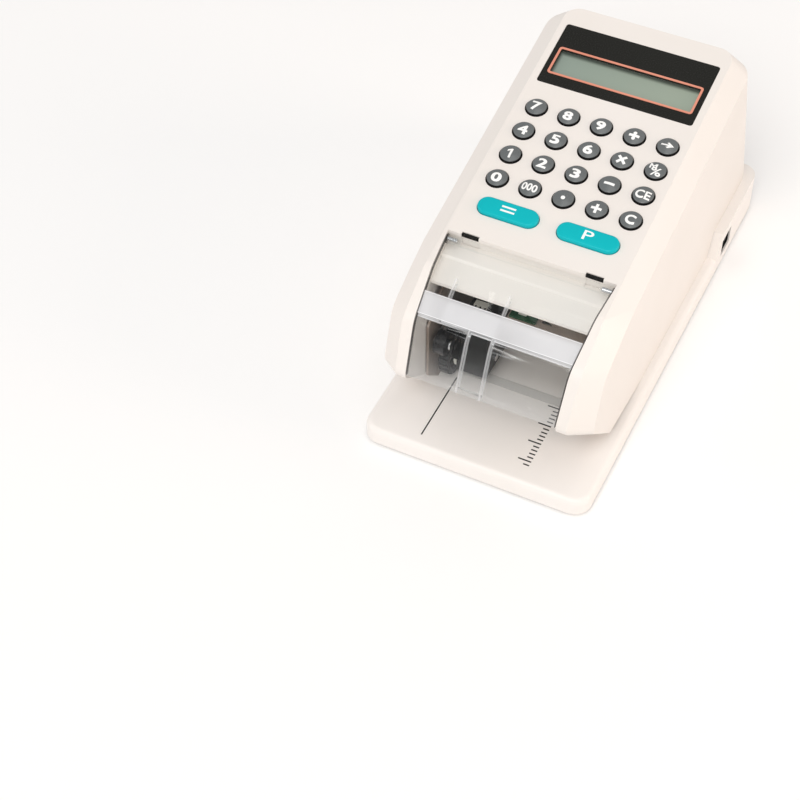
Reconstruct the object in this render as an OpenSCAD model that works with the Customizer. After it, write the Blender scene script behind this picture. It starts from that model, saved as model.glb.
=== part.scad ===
// Electronic check writer: a sloped keypad housing on a flat base. The nose of the housing hangs
// over the bed, and a clear hinged cover closes it over the printing carriage.
// Depths (y) are measured from the front edge of the base, heights (z) from the table.

/* [Base] */
// Width of the base
base_w = 122; // [119:1:126]
// Depth of the base, front lip to back
base_l = 257; // [252:1:262]
// Height of the bed above the table
bed_z = 11; // [10:0.5:12.5]
// Wall thickness of the base tray
base_wall = 2.2; // [1.8:0.1:2.6]
// Plan radius of the base corners
base_corner = 9; // [6:0.5:12]
// Rounding of the upper edge of the base
lip_round = 3; // [1.5:0.5:4]
// Height of the rubber feet under the base
foot_h = 1.2; // [0.8:0.1:1.8]
// Radius of a rubber foot
foot_r = 6; // [4:0.5:7]
// Thickness of the bottom plate
plate_t = 2; // [1.6:0.1:2.4]
// Depth at which the raised rear block starts
block_y = 190; // [186:1:194]
// Height of the rear block above the bed
block_h = 13; // [13:0.5:16]
// Length of the sloped front of the rear block
block_slope = 7; // [4:0.5:8]

/* [Housing] */
// Width of the open ledge on each side of the housing
ledge_w = 5.5; // [4:0.5:6]
// Wall thickness of the housing
cover_wall = 2.2; // [1.8:0.1:2.6]
// Slope of the keypad panel in degrees
panel_slope = 10.4; // [9:0.1:12]
// Depth of the lowest key row
key_row_y = 102.5; // [101:0.5:104]
// Height of the panel at the lowest key row
panel_h = 103.5; // [100:0.5:108]
// Width of the bevel band, seen from above
band_w = 9.5; // [7:0.5:10]
// Drop of the bevel band below the panel
band_drop = 7.4; // [6:0.2:9]
// Plan radius of the rear corners of the panel
panel_corner = 8; // [6:0.5:12]
// Plan radius of the rear corners of the housing
housing_corner = 13; // [10:0.5:16]
// Distance of the panel's rear edge from the lowest key row
panel_rear = 120.5; // [118:0.5:123]
// Depth of the point where the nose starts to fall
nose_start = 46; // [44:0.5:50]
// Depth of the tip of the nose
nose_tip_y = 7.5; // [5:0.5:12]
// Drop of the tip of the nose below the panel
nose_drop = 42.1; // [39:0.5:45]
// Gap between the bed and the lower lip of the cheeks
throat_gap = 5.5; // [5:0.25:7]
// Depth of the lower lip of the cheeks
lip_y = 43; // [40:0.5:46]

/* [Window cover] */
// Width of a cheek at the hinge
cheek_w = 11.4; // [10.5:0.1:12]
// How much the opening narrows on each side towards the nose
opening_taper = 4.6; // [3:0.1:5]
// Depth of the upper edge of the opening
opening_y = 65.4; // [65:0.1:67]
// Thickness of the clear sheet
sheet_t = 2; // [1.6:0.1:2.4]
// Radius of the hinge bead
bead_r = 2.4; // [2.2:0.1:2.6]
// Radius of the hinge pins
pin_r = 1.2; // [1:0.1:1.4]
// Height of the ribs inside the clear sheet
rib_h = 1.8; // [1.2:0.1:2.4]
// Thickness of those ribs
rib_t = 1.2; // [0.8:0.1:1.6]
// Depth of the cream shelf under the clear sheet
shelf_drop = 7.5; // [7:0.1:9]
// Depth of the front edge of the shelf
shelf_front = 42; // [40:0.5:46]
// Height of the sloped cut at the inner, lower corner of a cheek
cheek_cut = 7; // [4:0.5:9]

/* [Keys] */
// Diameter of a round key
key_d = 11.3; // [10:0.1:12]
// Height of a round key above the panel
key_h = 2.3; // [1.6:0.1:3]
// Distance of the outer key columns from the sides of the panel
key_in = 10.66; // [10:0.02:12]
// Pitch of the key rows up the slope
key_pitch_y = 16.41; // [15.5:0.1:16.6]
// Travel of a key
key_travel = 1.5; // [1:0.1:1.8]
// Distance of the outer end of a wide key from the side of the panel
wide_key_in = 9; // [8:0.5:11]
// Distance of the inner end of a wide key from the middle
wide_key_gap = 5; // [4:0.5:7]
// Depth of a wide key
wide_key_l = 10.5; // [9:0.25:11.5]
// Distance of the wide keys below the lowest row
wide_key_drop = 17.8; // [16.5:0.1:18.5]

/* [Display] */
// Distance of the dark display panel from the sides of the panel
display_in = 3.9; // [3:0.1:6]
// Height of the dark display panel along the slope
display_l = 41.6; // [38:0.2:43]
// Thickness of the display panel
display_t = 1.3; // [1:0.1:1.5]
// Distance of the display's lower edge from the lowest row
display_from = 66.4; // [64:0.2:68]
// Distance of the display's frame line from the sides of the display panel
frame_in = 2.7; // [2.6:0.1:5]
// Height of the display's frame line
frame_l = 18.8; // [16:0.2:22]
// Distance of the frame line above the panel's lower edge
frame_from = 6.8; // [5:0.2:10]

/* [Printing mechanism] */
// Gap between the side frames and the cheeks at the hinge
frame_gap = 2.8; // [2.4:0.1:3.4]
// Thickness of the side frames
frame_t = 1.5; // [1:0.1:1.8]
// Length of the carriage travel
carriage_travel = 50; // [40:1:50]
// Width of the carriage box
carriage_w = 16.5; // [15:0.5:17]
// Depth of the type wheel's axis
type_y = 57; // [56:0.5:58]
// Radius of the type wheel over its characters
type_r = 16; // [15:0.25:16.5]
// Width of the type wheel
type_w = 5; // [4:0.25:5.5]
// Number of characters on the type wheel
type_count = 24; // [16:1:28]
// Radius of the ink roller
ink_r = 6.3; // [5.5:0.1:7]
// Module of the gears
gear_module = 0.6; // [0.5:0.05:0.65]
// Teeth of the type gear
gear_teeth = 32; // [28:1:34]
// Teeth of the motor pinion
pinion_teeth = 12; // [11:1:14]
// Radius of the guide rods
rod_r = 2.5; // [2:0.1:3]
// Radius of the belt pulleys
pulley_r = 5; // [4.5:0.1:5.5]
// Upward stroke of the platen
platen_stroke = 0.6; // [0.4:0.1:0.7]

/* [Hidden] */
thin = 0.2;
fit = 0.05;          // radial clearance of a running fit
slip = 0.3;          // clearance between parts that only pass each other
far = 400;
$fn = 40;

body_half = base_w / 2 - ledge_w;
panel_half = body_half - band_w;
housing_back = base_l - 0.6;
opening_half = body_half - cheek_w;
nose_half = opening_half - opening_taper;
frame_x = opening_half - frame_gap - frame_t;
block_top = bed_z + block_h;
key_pitch_x = (panel_half - key_in) / 2;
key_shift = 0.7;     // the columns stand a little to the right
wide_key_w = panel_half - wide_key_in - wide_key_gap;
wide_key_x = wide_key_gap + wide_key_w / 2;
display_w = 2 * (panel_half - display_in);
frame_w = display_w - 2 * frame_in;
nose_tip_z = panel_z(nose_start) - nose_drop;

// Corners of the side profile: depth, height, radius
brow = [nose_start + 16 * sin(panel_slope), panel_z(nose_start) - 16 * cos(panel_slope), 16];
bridge = [nose_tip_y + 22.5, nose_tip_z + 17.5, 14.5];
tip = [nose_tip_y + 6.5, nose_tip_z, 6.5];
cheek_lip = [lip_y, bed_z + throat_gap + 3, 3];
// Corners of the outer, lower edge of the bevel band
side_brow = [nose_start + 6, panel_z(nose_start) - 21, 12];
side_bridge = [nose_tip_y + 29.5, nose_tip_z + 13, 13.5];
side_tip = [nose_tip_y + 16, nose_tip_z - 4, 6.2];
side_lip = [lip_y + 3, bed_z + throat_gap + 3, 3];
throat_end = 89;
shoulder_z = 88;     // height at which the rear wall has leaned forward by rear_lean
rear_lean = 21;
skirt_z = 30;
shelf_t = 1.8;

hinge_y = opening_y - bead_r - 0.45;
hinge_z = panel_z(hinge_y) - (bead_r + 0.1) / cos(panel_slope);
pin_in = 2.2;        // how far a hinge pin reaches into the cheek
pin_out = 6;         // and into the cover
slot_w = 9.2;        // slots of the hinge, in the edge of the panel
slot_l = 1.6;
slot_in = 11.6;      // distance of their middle from the cheeks

flange_r = 0.8;      // how far a key's flange reaches under the panel
flange_t = 1;
key_gap = 0.35;      // clearance round a key in its hole
flange_z = -cover_wall - 0.2 - flange_t;
dome_h = key_travel + 0.1;
dome_r = 3.1;
key_hollow = key_travel + 0.5;   // depth of the hollow over a dome
hollow_r = dome_r + 0.6;
wide_dome_x = wide_key_w / 4;    // a wide key rests on two domes
mat_t = 0.8;
mat_z = flange_z - 0.2 - dome_h;
board_z = mat_z - mat_t;
board_t = 1.6;
board_half = panel_half - 2.5;
board_from = -25.5;
board_to = display_from + display_l + 4;
mat_from = -wide_key_drop - 4.2;
mat_to = 3 * key_pitch_y + 8.5;
boss_low = board_from + 3.2;
boss_at = [[-1, boss_low], [1, boss_low], [-1, board_to - 4.6], [1, board_to - 4.6]];
boss_x = board_half - 2.8;

type_gap = platen_stroke + slip;
type_z = bed_z + type_gap + type_r;
gear_w = 1.7;
gear_pitch_r = gear_module * gear_teeth / 2;
pinion_pitch_r = gear_module * pinion_teeth / 2;
gear_distance = gear_pitch_r + pinion_pitch_r;
pinion_angle = 53;
pinion_y = type_y + gear_distance * cos(pinion_angle);
pinion_z = type_z + gear_distance * sin(pinion_angle);
ink_distance = type_r + ink_r + slip;
ink_angle = 135;
ink_y = type_y + ink_distance * cos(ink_angle);
ink_z = type_z + ink_distance * sin(ink_angle);
wheel_x = -frame_x + 2.4;
gear_x = wheel_x + type_w + 0.8;
box_x = gear_x + gear_w + 0.5;
box_front = 46;
box_back = 86;
box_low = 22;
box_high = 56;
box_wall = 1.4;
box_cut = 6;         // cut corner of the box
ink_ear = 4;
rear_rod = [80, 29];
front_rod = [75, 51];
type_shaft_r = 2;
ink_pin_r = 1.5;
motor_r = 7;
belt_x = frame_x - 7;
belt_y = box_back + 1.2;
belt_w = 4;
belt_z = 40;
belt_t = 0.9;
pulley_pin_r = 1.5;
deck_plate_z = 58;
deck_plate_t = 1.2;
rear_plate_y = belt_y + belt_w + 1;
frame_back = rear_plate_y + deck_plate_t;
frame_top = 70;
frame_front = 35;
frame_cut = 12;      // cut corners of the side frames
plate_front = 52;
plate_foot = 9;      // depth of the foot of the cross plate
drive_motor_r = 10;
drive_motor_l = 20;
platen_w = 5.4;
platen_z = 5.2;

screw_r = 1.45;
screw_at = [[-1, 14], [1, 14], [-1, 120], [1, 120], [-1, 184], [1, 184]];
screw_x = base_w / 2 - 8;
board_screw_r = 1.2;
foot_at = [[-1, 26], [1, 26], [-1, base_l - 22], [1, base_l - 22]];
main_w = 2 * opening_half;
main_l = 76;
main_y = block_y - 4 - main_l;
post_edge = 4;
post_r = 3;
post_h = 5;

switch_y = block_y + 14.5;
switch_z = 12.6;
switch_l = 14;
switch_h = 11;
rocker_x = base_w / 2 - 5;
rocker_tilt = 8;
jack_x = -30;
jack_z = 12.4;
jack_r = 4;

// Round keys: node name, column, row counted from the lowest
KEYS = [
  ["key_7", 0, 3], ["key_8", 1, 3], ["key_9", 2, 3], ["key_divide", 3, 3], ["key_arrow", 4, 3],
  ["key_4", 0, 2], ["key_5", 1, 2], ["key_6", 2, 2], ["key_times", 3, 2], ["key_percent", 4, 2],
  ["key_1", 0, 1], ["key_2", 1, 1], ["key_3", 2, 1], ["key_minus", 3, 1], ["key_ce", 4, 1],
  ["key_0", 0, 0], ["key_000", 1, 0], ["key_point", 2, 0], ["key_plus", 3, 0], ["key_c", 4, 0]
];
WIDE_KEYS = [["key_equals", -1], ["key_print", 1]];

// ---- helpers

// Height of the panel plane at depth y
function panel_z(y) = panel_h + (y - key_row_y) * tan(panel_slope);

// Place of a key column, counted from the left
function column_x(i) = (i - 2) * key_pitch_x + key_shift;

// Half width of the opening at depth y
function opening_at(y) = nose_half + opening_taper * (y - nose_tip_y) / (opening_y - nose_tip_y);

// Direction of the outward normal of the line that touches two corners
function touch(a, b) =
  360 + atan2(b[1] - a[1], b[0] - a[0]) - acos((a[2] - b[2]) / norm([b[0] - a[0], b[1] - a[1]]));

// Arc of a corner, moved inward by t
function arc(c, a0, a1, t, steps = 6) =
  [for (i = [0:steps]) let (a = a0 + (a1 - a0) * i / steps)
    [c[0] + (c[2] - t) * cos(a), c[1] + (c[2] - t) * sin(a)]];

function reversed(list) = [for (i = [len(list) - 1:-1:0]) list[i]];

// Points of the nose profile from the hinge down to the tip, moved inward by t
function nose_path(t) = concat(
  [[hinge_y - t * sin(-panel_slope), panel_z(hinge_y) - t * cos(panel_slope)]],
  arc(brow, 90 + panel_slope, touch(brow, bridge), t),
  arc(bridge, touch(brow, bridge), touch(bridge, tip), t),
  arc(tip, touch(bridge, tip), 180, t)
);

// Moves the model so that its base is centred on the origin
module place() {
  translate([0, -base_l / 2, 0]) children();
}

// A point of the panel: x, distance up the slope from the lowest key row, height above the panel
module on_panel(x, s, d = 0) {
  translate([0, key_row_y, panel_h]) rotate([panel_slope, 0, 0]) translate([x, s, d]) children();
}

// A cylinder along x through a point of the side view
module bar(x0, x1, y, z, r) {
  translate([x0, y, z]) rotate([0, 90, 0]) cylinder(r = r, h = x1 - x0);
}

// Side profile given as depth and height, extruded along x
module slab(x0, x1, points) {
  translate([x0, 0, 0]) rotate([90, 0, 90]) linear_extrude(x1 - x0) polygon(points);
}

module rounded_rect(w, l, r) {
  square([w - 2 * r, l], center = true);
  square([w, l - 2 * r], center = true);
  for (x = [-1, 1], y = [-1, 1]) translate([x * (w / 2 - r), y * (l / 2 - r)]) circle(r);
}

module stadium(w, l) {
  square([w - l, l], center = true);
  for (s = [-1, 1]) translate([s * (w - l) / 2, 0]) circle(l / 2);
}

// Plate with rounded corners and a rounded upper edge
module soft_plate(w, l, h, r, edge) {
  side = concat([[0, 0], [r, 0]],
    [for (a = [0:22.5:90]) [r - edge + edge * cos(a), h - edge + edge * sin(a)]], [[0, h]]);
  hull() for (x = [-1, 1], y = [-1, 1]) translate([x * (w / 2 - r), y * (l / 2 - r), 0])
    rotate_extrude($fn = 32) polygon(side);
}

// ---- housing

// Thin level outline with rounded rear corners, a child of a hull
module rear_outline(half, y0, y1, r, h = thin) {
  for (s = [-1, 1]) {
    translate([s * (half - r), y1 - r, 0]) cylinder(r = r, h = h, $fn = 32);
    translate([s * (half - thin / 2) - thin / 2, y0, 0]) cube([thin, thin, h]);
  }
}

module profile_bar(half, c, t) {
  translate([0, c[0], c[1]]) rotate([0, 90, 0])
    cylinder(r = c[2] - t, h = 2 * (half - t), center = true, $fn = 48);
}

// Outer form of the housing, moved inward by t all round. It is cut flat at the panel.
module housing_form(t) {
  side = 0.6 * t;
  lift = 0.3;
  top_half = panel_half - side - lift * band_w / (band_drop + lift);
  difference() {
    housing_hull(t, side, lift, top_half);
    on_panel(-far / 2, -far / 2, -t) cube(far);
  }
}

module housing_hull(t, side, lift, top_half) {
  hull() {
    on_panel(0, 0, -t - lift) rear_outline(
      top_half, nose_start + 8 - key_row_y, panel_rear - t, panel_corner - side, 2 * lift);
    on_panel(0, 0, -band_drop - side - thin)
      rear_outline(body_half - t, nose_start + 14 - key_row_y, panel_rear + 2.6 - t, housing_corner - t);
    for (level = [[shoulder_z, rear_lean], [skirt_z, 2]]) translate([0, 0, level[0]])
      rear_outline(body_half - t, throat_end + 2, housing_back - level[1] - t, housing_corner - t);
    translate([0, 0, t > 0 ? 0 : bed_z])
      rear_outline(body_half - t, throat_end + (t > 0 ? 6 : 0), housing_back - t, housing_corner - t);
    profile_bar(panel_half, brow, t);
    profile_bar(panel_half - side, bridge, t);
    profile_bar(panel_half - 1 - side, tip, t);
    profile_bar(body_half - 4, cheek_lip, t);
    profile_bar(body_half, side_brow, t);
    profile_bar(body_half, side_bridge, t);
    profile_bar(body_half, side_tip, t);
    profile_bar(body_half, side_lip, t);
  }
}

// The opening between the cheeks, seen from above and widened by g on each side
module opening_plan(g) {
  back = opening_y;
  polygon([[-opening_at(-5) - g, -5], [opening_at(-5) + g, -5],
           [opening_at(back) + g, back], [-opening_at(back) - g, back]]);
}

// Cream shelf behind the clear cover, which closes the housing above the mechanism
module shelf() {
  t = shelf_t;
  low = panel_z(shelf_front) - shelf_drop - 1;
  high = panel_z(opening_y) - shelf_drop;
  slab(-opening_half - 1, opening_half + 1, [
    [opening_y + 4, panel_z(opening_y) - 1], [opening_y + 2, panel_z(opening_y) - 1],
    [opening_y + 1.6, high], [opening_y - 8, high - 1.2], [opening_y - 9, high - 2.4],
    [shelf_front, low], [shelf_front, low - t], [opening_y - 8, high - 2.4 - t],
    [opening_y + 4, high - t]]);
}

// Slots in the edge of the panel that open into the dark space behind the shelf
module hinge_slots() {
  low = panel_z(opening_y) - shelf_drop - shelf_t - 1;
  for (s = [-1, 1]) translate([s * (opening_half - slot_in) - slot_w / 2, opening_y - 1, 0]) {
    translate([0, 0, low]) cube([slot_w, slot_l + 1, far]);
    translate([0, 0, low]) cube([slot_w, 6, panel_z(opening_y) - cover_wall - slip - low]);
  }
}

// Sloped cut across the inner, lower corner of each cheek, moved inward by g
module cheek_corner(g) {
  rise = cheek_cut / (cheek_w - 5.5);
  top = bed_z + throat_gap + cheek_cut + g * norm([1, rise]);
  for (s = [0, 1]) mirror([s, 0, 0]) translate([nose_half + 2.6, opening_y, 0]) rotate([90, 0, 0])
    linear_extrude(opening_y + 5) polygon([[-10, top + 10 * rise], [-10, 0], [top / rise, 0]]);
}

module key_holes() {
  for (k = KEYS) on_panel(column_x(k[1]), k[2] * key_pitch_y, -far / 2)
    cylinder(r = key_d / 2 + key_gap, h = far);
  for (k = WIDE_KEYS) on_panel(k[1] * wide_key_x, -wide_key_drop, -20) linear_extrude(far)
    stadium(wide_key_w + 2 * key_gap, wide_key_l + 2 * key_gap);
}

module display_holes() {
  middle = display_from + display_l / 2;
  glass = display_from + frame_from + frame_l / 2;
  on_panel(0, middle, -display_t) linear_extrude(far) rounded_rect(display_w + 0.3, display_l + 0.3, 1.5);
  on_panel(0, glass, -20) linear_extrude(far) square([frame_w - 1, frame_l - 1], center = true);
}

// Everything cut away under the housing: the bed, the sloped rear block and its flat top
module under_cut() {
  translate([-far / 2, -far / 2, bed_z - far]) cube([far, far, far]);
  slab(-far / 2, far / 2, [[block_y - slip, 0], [block_y - slip, bed_z],
    [block_y + block_slope - slip, block_top], [far, block_top], [far, 0]]);
}

module housing() {
  color("ivory") place() {
    difference() {
      housing_form(0);
      difference() {
        housing_form(cover_wall);
        linear_extrude(far) difference() {
          opening_plan(2);
          opening_plan(0);
        }
        shelf();
        cheek_corner(cover_wall);
      }
      difference() {
        linear_extrude(far) opening_plan(0);
        shelf();
      }
      translate([-opening_half, opening_y - 5, 0]) cube([2 * opening_half, 30, bed_z + 20]);
      under_cut();
      cheek_corner(0);
      key_holes();
      display_holes();
      hinge_slots();
      bar(-opening_half - pin_in, opening_half + pin_in, hinge_y, hinge_z, pin_r);
    }
    for (b = boss_at) on_panel(b[0] * boss_x, b[1], board_z) difference() {
      cylinder(r = 3, h = -cover_wall - board_z + 0.1);
      translate([0, 0, -1]) cylinder(r = board_screw_r, h = 3.4);
    }
  }
}

// ---- clear window cover

// Profile of a rib inside the sheet, from one point of the nose path to another
function rib_profile(first, last, depth) =
  let (root = nose_path(sheet_t - 0.4), crest = nose_path(depth))
  concat([for (i = [first:last]) root[i]], reversed([for (i = [first:last]) crest[i]]));

module window_cover() {
  outer = nose_path(0);
  inner = nose_path(sheet_t);
  last = len(inner) - 2;
  // share of the nose's half width, first and last point of the profile
  ribs = [[-0.72, 7, 9], [-0.32, 9, last], [-0.01, 7, last]];
  color("aliceblue", 0.5) place() difference() {
    union() {
      intersection() {
        slab(-body_half, body_half, concat(outer, reversed(inner)));
        linear_extrude(far) opening_plan(-0.4);
      }
      bar(-opening_at(hinge_y) + 0.4, opening_at(hinge_y) - 0.4, hinge_y, hinge_z, bead_r);
      for (r = ribs) translate([r[0] * nose_half, 0, 0])
        slab(-rib_t / 2, rib_t / 2, rib_profile(r[1], r[2], sheet_t + rib_h));
      slab(ribs[1][0] * nose_half, ribs[2][0] * nose_half,
        rib_profile(last - 2, last, sheet_t + rib_h - 0.2));
    }
    for (s = [-1, 1]) translate([s * opening_at(hinge_y), 0, 0])
      bar(-7, 7, hinge_y, hinge_z, pin_r + fit);
  }
}

module hinge_pins() {
  half = opening_at(hinge_y);
  color("silver") place() for (s = [0, 1]) mirror([s, 0, 0])
    bar(half - pin_out, half + pin_in, hinge_y, hinge_z, pin_r);
}

// ---- base

module base_outline(g) {
  translate([0, base_l / 2, 0]) rounded_rect(base_w - 2 * g, base_l - 2 * g, base_corner - g);
}

// Side profile of the rear block, moved inward by g
function block_profile(g) = [[block_y + g, bed_z - 5], [block_y + g, bed_z - g / 2],
  [block_y + block_slope + g, block_top - g], [base_l + 5, block_top - g], [base_l + 5, bed_z - 5]];

module switch_opening(g, depth) {
  translate([base_w / 2 - depth, switch_y - switch_l / 2 - g, switch_z - switch_h / 2 - g])
    cube([far, switch_l + 2 * g, switch_h + 2 * g]);
}

module base_tray() {
  deck_low = bed_z - base_wall;
  color("ivory") place() difference() {
    union() {
      difference() {
        union() {
          translate([0, base_l / 2, foot_h])
            soft_plate(base_w, base_l, bed_z - foot_h, base_corner, lip_round);
          intersection() {
            linear_extrude(far) base_outline(0);
            slab(-base_w / 2, base_w / 2, block_profile(0));
          }
        }
        translate([0, 0, -1]) linear_extrude(deck_low + 1) base_outline(base_wall);
        intersection() {
          linear_extrude(far) base_outline(base_wall);
          slab(-base_w / 2, base_w / 2, block_profile(base_wall));
        }
      }
      for (b = screw_at) translate([b[0] * screw_x, b[1], foot_h + plate_t])
        cylinder(r = 3.5, h = deck_low - foot_h - plate_t + 0.5);
    }
    for (b = screw_at) translate([b[0] * screw_x, b[1], 0]) cylinder(r = screw_r + fit, h = deck_low - 0.6);
    translate([-nose_half + 1.5, type_y - platen_w / 2 - slip, 0])
      cube([2 * nose_half - 3, platen_w + 2 * slip, far]);
    switch_opening(0.15, 20);
    translate([jack_x, base_l + 1, jack_z]) rotate([90, 0, 0]) cylinder(r = jack_r + 0.15, h = base_wall + 2);
  }
}

module bottom_plate() {
  color("gainsboro") place() difference() {
    union() {
      translate([0, 0, foot_h]) linear_extrude(plate_t) base_outline(base_wall + slip);
      for (s = [-1, 1]) translate([s * 28 - 3, type_y - 2, foot_h])
        cube([6, 4, platen_z - foot_h]);
    }
    for (b = screw_at) translate([b[0] * screw_x, b[1], 0]) {
      cylinder(r = screw_r + 0.2, h = far);
      cylinder(r = 3.1, h = foot_h + 1.1);
    }
  }
}

module rubber_feet() {
  color("dimgray") place() for (f = foot_at) translate([f[0] * (base_w / 2 - 14), f[1], 0]) {
    cylinder(r1 = foot_r - 0.4, r2 = foot_r, h = 0.4);
    translate([0, 0, 0.4]) cylinder(r = foot_r, h = foot_h - 0.4);
  }
}

module case_screws() {
  color("silver") place() for (b = screw_at) translate([b[0] * screw_x, b[1], foot_h - 0.6]) difference() {
    union() {
      cylinder(r = 2.8, h = 1.6);
      cylinder(r = screw_r, h = 6);
    }
    for (a = [0, 90]) rotate(a) translate([-1.5, -0.35, -1]) cube([3, 0.7, 1.8]);
  }
}

// ---- keys and electronics

// Round key: flange, hollow underside over the dome of the mat, rounded and slightly crowned top
module round_key(x, s) {
  r = key_d / 2;
  edge = 0.9;
  crown = 0.35;
  color("dimgray") place() on_panel(x, s) rotate_extrude() polygon(concat(
    [[0, flange_z + key_hollow], [hollow_r, flange_z + key_hollow], [hollow_r, flange_z],
     [r + flange_r, flange_z],
     [r + flange_r, flange_z + flange_t], [r, flange_z + flange_t]],
    [for (a = [0:22.5:90]) [r - edge + edge * cos(a), key_h - crown - edge + edge * sin(a)]],
    [[r / 2, key_h - crown / 4], [0, key_h]]));
}

module wide_key(x) {
  edge = 1;
  color("darkturquoise") place() on_panel(x, -wide_key_drop) difference() {
    union() {
      translate([0, 0, flange_z + flange_t])
        soft_plate(wide_key_w, wide_key_l, key_h - flange_z - flange_t, wide_key_l / 2, edge);
      translate([0, 0, flange_z]) linear_extrude(flange_t + 0.1)
        stadium(wide_key_w + 2 * flange_r, wide_key_l + 2 * flange_r);
    }
    for (q = [-1, 1]) translate([q * wide_dome_x, 0, flange_z - 1])
      cylinder(r = hollow_r, h = key_hollow + 1);
  }
}

// Dome of the mat under a key, rooted in the mat
module key_dome() {
  translate([0, 0, -thin]) cylinder(r = dome_r, h = thin + dome_h / 2);
  cylinder(r1 = dome_r, r2 = dome_r - 0.8, h = dome_h);
}

module key_mat() {
  color("lightgray") place() difference() {
    union() {
      on_panel(0, (mat_from + mat_to) / 2, mat_z - mat_t) linear_extrude(mat_t)
        square([2 * board_half, mat_to - mat_from], center = true);
      for (k = KEYS) on_panel(column_x(k[1]), k[2] * key_pitch_y, mat_z) key_dome();
      for (k = WIDE_KEYS, q = [-1, 1])
        on_panel(k[1] * wide_key_x + q * wide_dome_x, -wide_key_drop, mat_z) key_dome();
    }
    for (b = boss_at) on_panel(b[0] * boss_x, b[1], mat_z) cube([7.4, 7.4, 10], center = true);
  }
}

module keypad_board() {
  color("darkgreen") place() difference() {
    on_panel(0, (board_from + board_to) / 2, board_z - board_t) linear_extrude(board_t)
      square([2 * board_half, board_to - board_from], center = true);
    for (b = boss_at) on_panel(b[0] * boss_x, b[1], board_z - 5) cylinder(r = board_screw_r + 0.1, h = 10);
  }
}

module board_screws() {
  color("silver") place() for (b = boss_at) on_panel(b[0] * boss_x, b[1], board_z - board_t) {
    translate([0, 0, -1.4]) cylinder(r = 2.2, h = 1.4);
    cylinder(r = board_screw_r - fit, h = board_t + 2);
  }
}

module display_panel() {
  color("black") place() on_panel(0, display_from + display_l / 2, -display_t) linear_extrude(display_t)
    difference() {
      rounded_rect(display_w, display_l, 1.4);
      translate([0, frame_from + frame_l / 2 - display_l / 2])
        rounded_rect(frame_w - 2.4, frame_l - 2.4, 0.8);
    }
}

module display_frame() {
  color("salmon") place() on_panel(0, display_from + frame_from + frame_l / 2, 0) linear_extrude(0.25)
    difference() {
      rounded_rect(frame_w, frame_l, 1.6);
      rounded_rect(frame_w - 2.4, frame_l - 2.4, 0.8);
    }
}

module lcd_module() {
  high = -cover_wall - 0.1;
  color("darkseagreen") place() on_panel(0, display_from + frame_from + frame_l / 2, board_z)
    linear_extrude(high - board_z) square([frame_w + 1, frame_l + 5], center = true);
}

// Main board on its four spacers
module main_board() {
  color("darkgreen") place() {
    translate([-main_w / 2, main_y, bed_z + post_h]) cube([main_w, main_l, board_t]);
    for (x = [-1, 1], y = [post_edge, main_l - post_edge])
      translate([x * (main_w / 2 - post_edge), main_y + y, bed_z]) cylinder(r = post_r, h = post_h + 0.2);
  }
}

module board_parts() {
  top = bed_z + post_h + board_t;
  color("dimgray") place() translate([0, 0, top]) {
    transformer = [30, 24, 20];
    coil = [36, 14, 14];
    capacitor_r = 5;
    translate([-main_w / 2 + 10, main_y + main_l - 36, 0]) {
      cube(transformer);
      translate([(transformer[0] - coil[0]) / 2, (transformer[1] - coil[1]) / 2, 0]) cube(coil);
    }
    for (i = [0:2]) translate([main_w / 2 - 8 - 2.6 * capacitor_r * i, main_y + main_l - 14, 0])
      cylinder(r = capacitor_r, h = coil[2]);
    translate([2, main_y + 12, 0]) cube([18, 18, 2.6]);
    for (i = [0:3]) translate([-main_w / 2 + 12 + 9 * i, main_y + 6, 0]) cube([7, 5, 6]);
  }
}

// ---- printing mechanism

module side_frame(s) {
  x0 = s > 0 ? frame_x : -frame_x - frame_t;
  color("rosybrown") place() difference() {
    slab(x0, x0 + frame_t, [[frame_front, bed_z + frame_cut], [frame_front + frame_cut, bed_z],
      [frame_back, bed_z], [frame_back, deck_plate_z + 2], [frame_back - 1.8 * frame_cut, frame_top],
      [frame_front + frame_cut, frame_top], [frame_front, frame_top - frame_cut]]);
    for (r = [rear_rod, front_rod]) bar(-far / 2, far / 2, r[0], r[1], rod_r + fit);
    bar(-far / 2, far / 2, 50, 40, 5);
  }
}

module frame_left() {
  side_frame(-1);
}

module frame_right() {
  side_frame(1);
}

// Folded sheet between the side frames: a top with its slot, and a rear wall that holds the belt drive
module cross_plate() {
  t = deck_plate_t;
  color("rosybrown") place() difference() {
    union() {
      translate([-frame_x * 0.2, plate_front, deck_plate_z])
        cube([frame_x * 1.2, rear_plate_y - plate_front + t, t]);
      translate([-frame_x, box_back, deck_plate_z]) cube([2 * frame_x, rear_plate_y - box_back + t, t]);
      translate([-frame_x, rear_plate_y, bed_z]) cube([2 * frame_x, t, deck_plate_z - bed_z + t]);
      translate([-frame_x, rear_plate_y, bed_z]) cube([2 * frame_x, plate_foot, t]);
      translate([-belt_x, rear_plate_y + 0.5, belt_z]) rotate([90, 0, 0])
        cylinder(r = pulley_pin_r, h = belt_w + 1);
    }
    translate([9, 61, 0]) cube([10, 3.5, far]);
    translate([belt_x, rear_plate_y + 5, belt_z]) rotate([90, 0, 0]) cylinder(r = pulley_pin_r + 0.4, h = 10);
    for (x = [-20, 0, 20]) translate([x, rear_plate_y + 5, 22]) rotate([90, 0, 0]) cylinder(r = 5, h = 10);
    for (x = [-1, 1]) translate([x * (frame_x - 8), rear_plate_y + 5.5, 0]) cylinder(r = 1.6, h = bed_z + 5);
  }
}

module link_board() {
  color("darkgreen") place() translate([-7, 58, deck_plate_z + deck_plate_t]) cube([14, 14, 1.2]);
}

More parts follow.
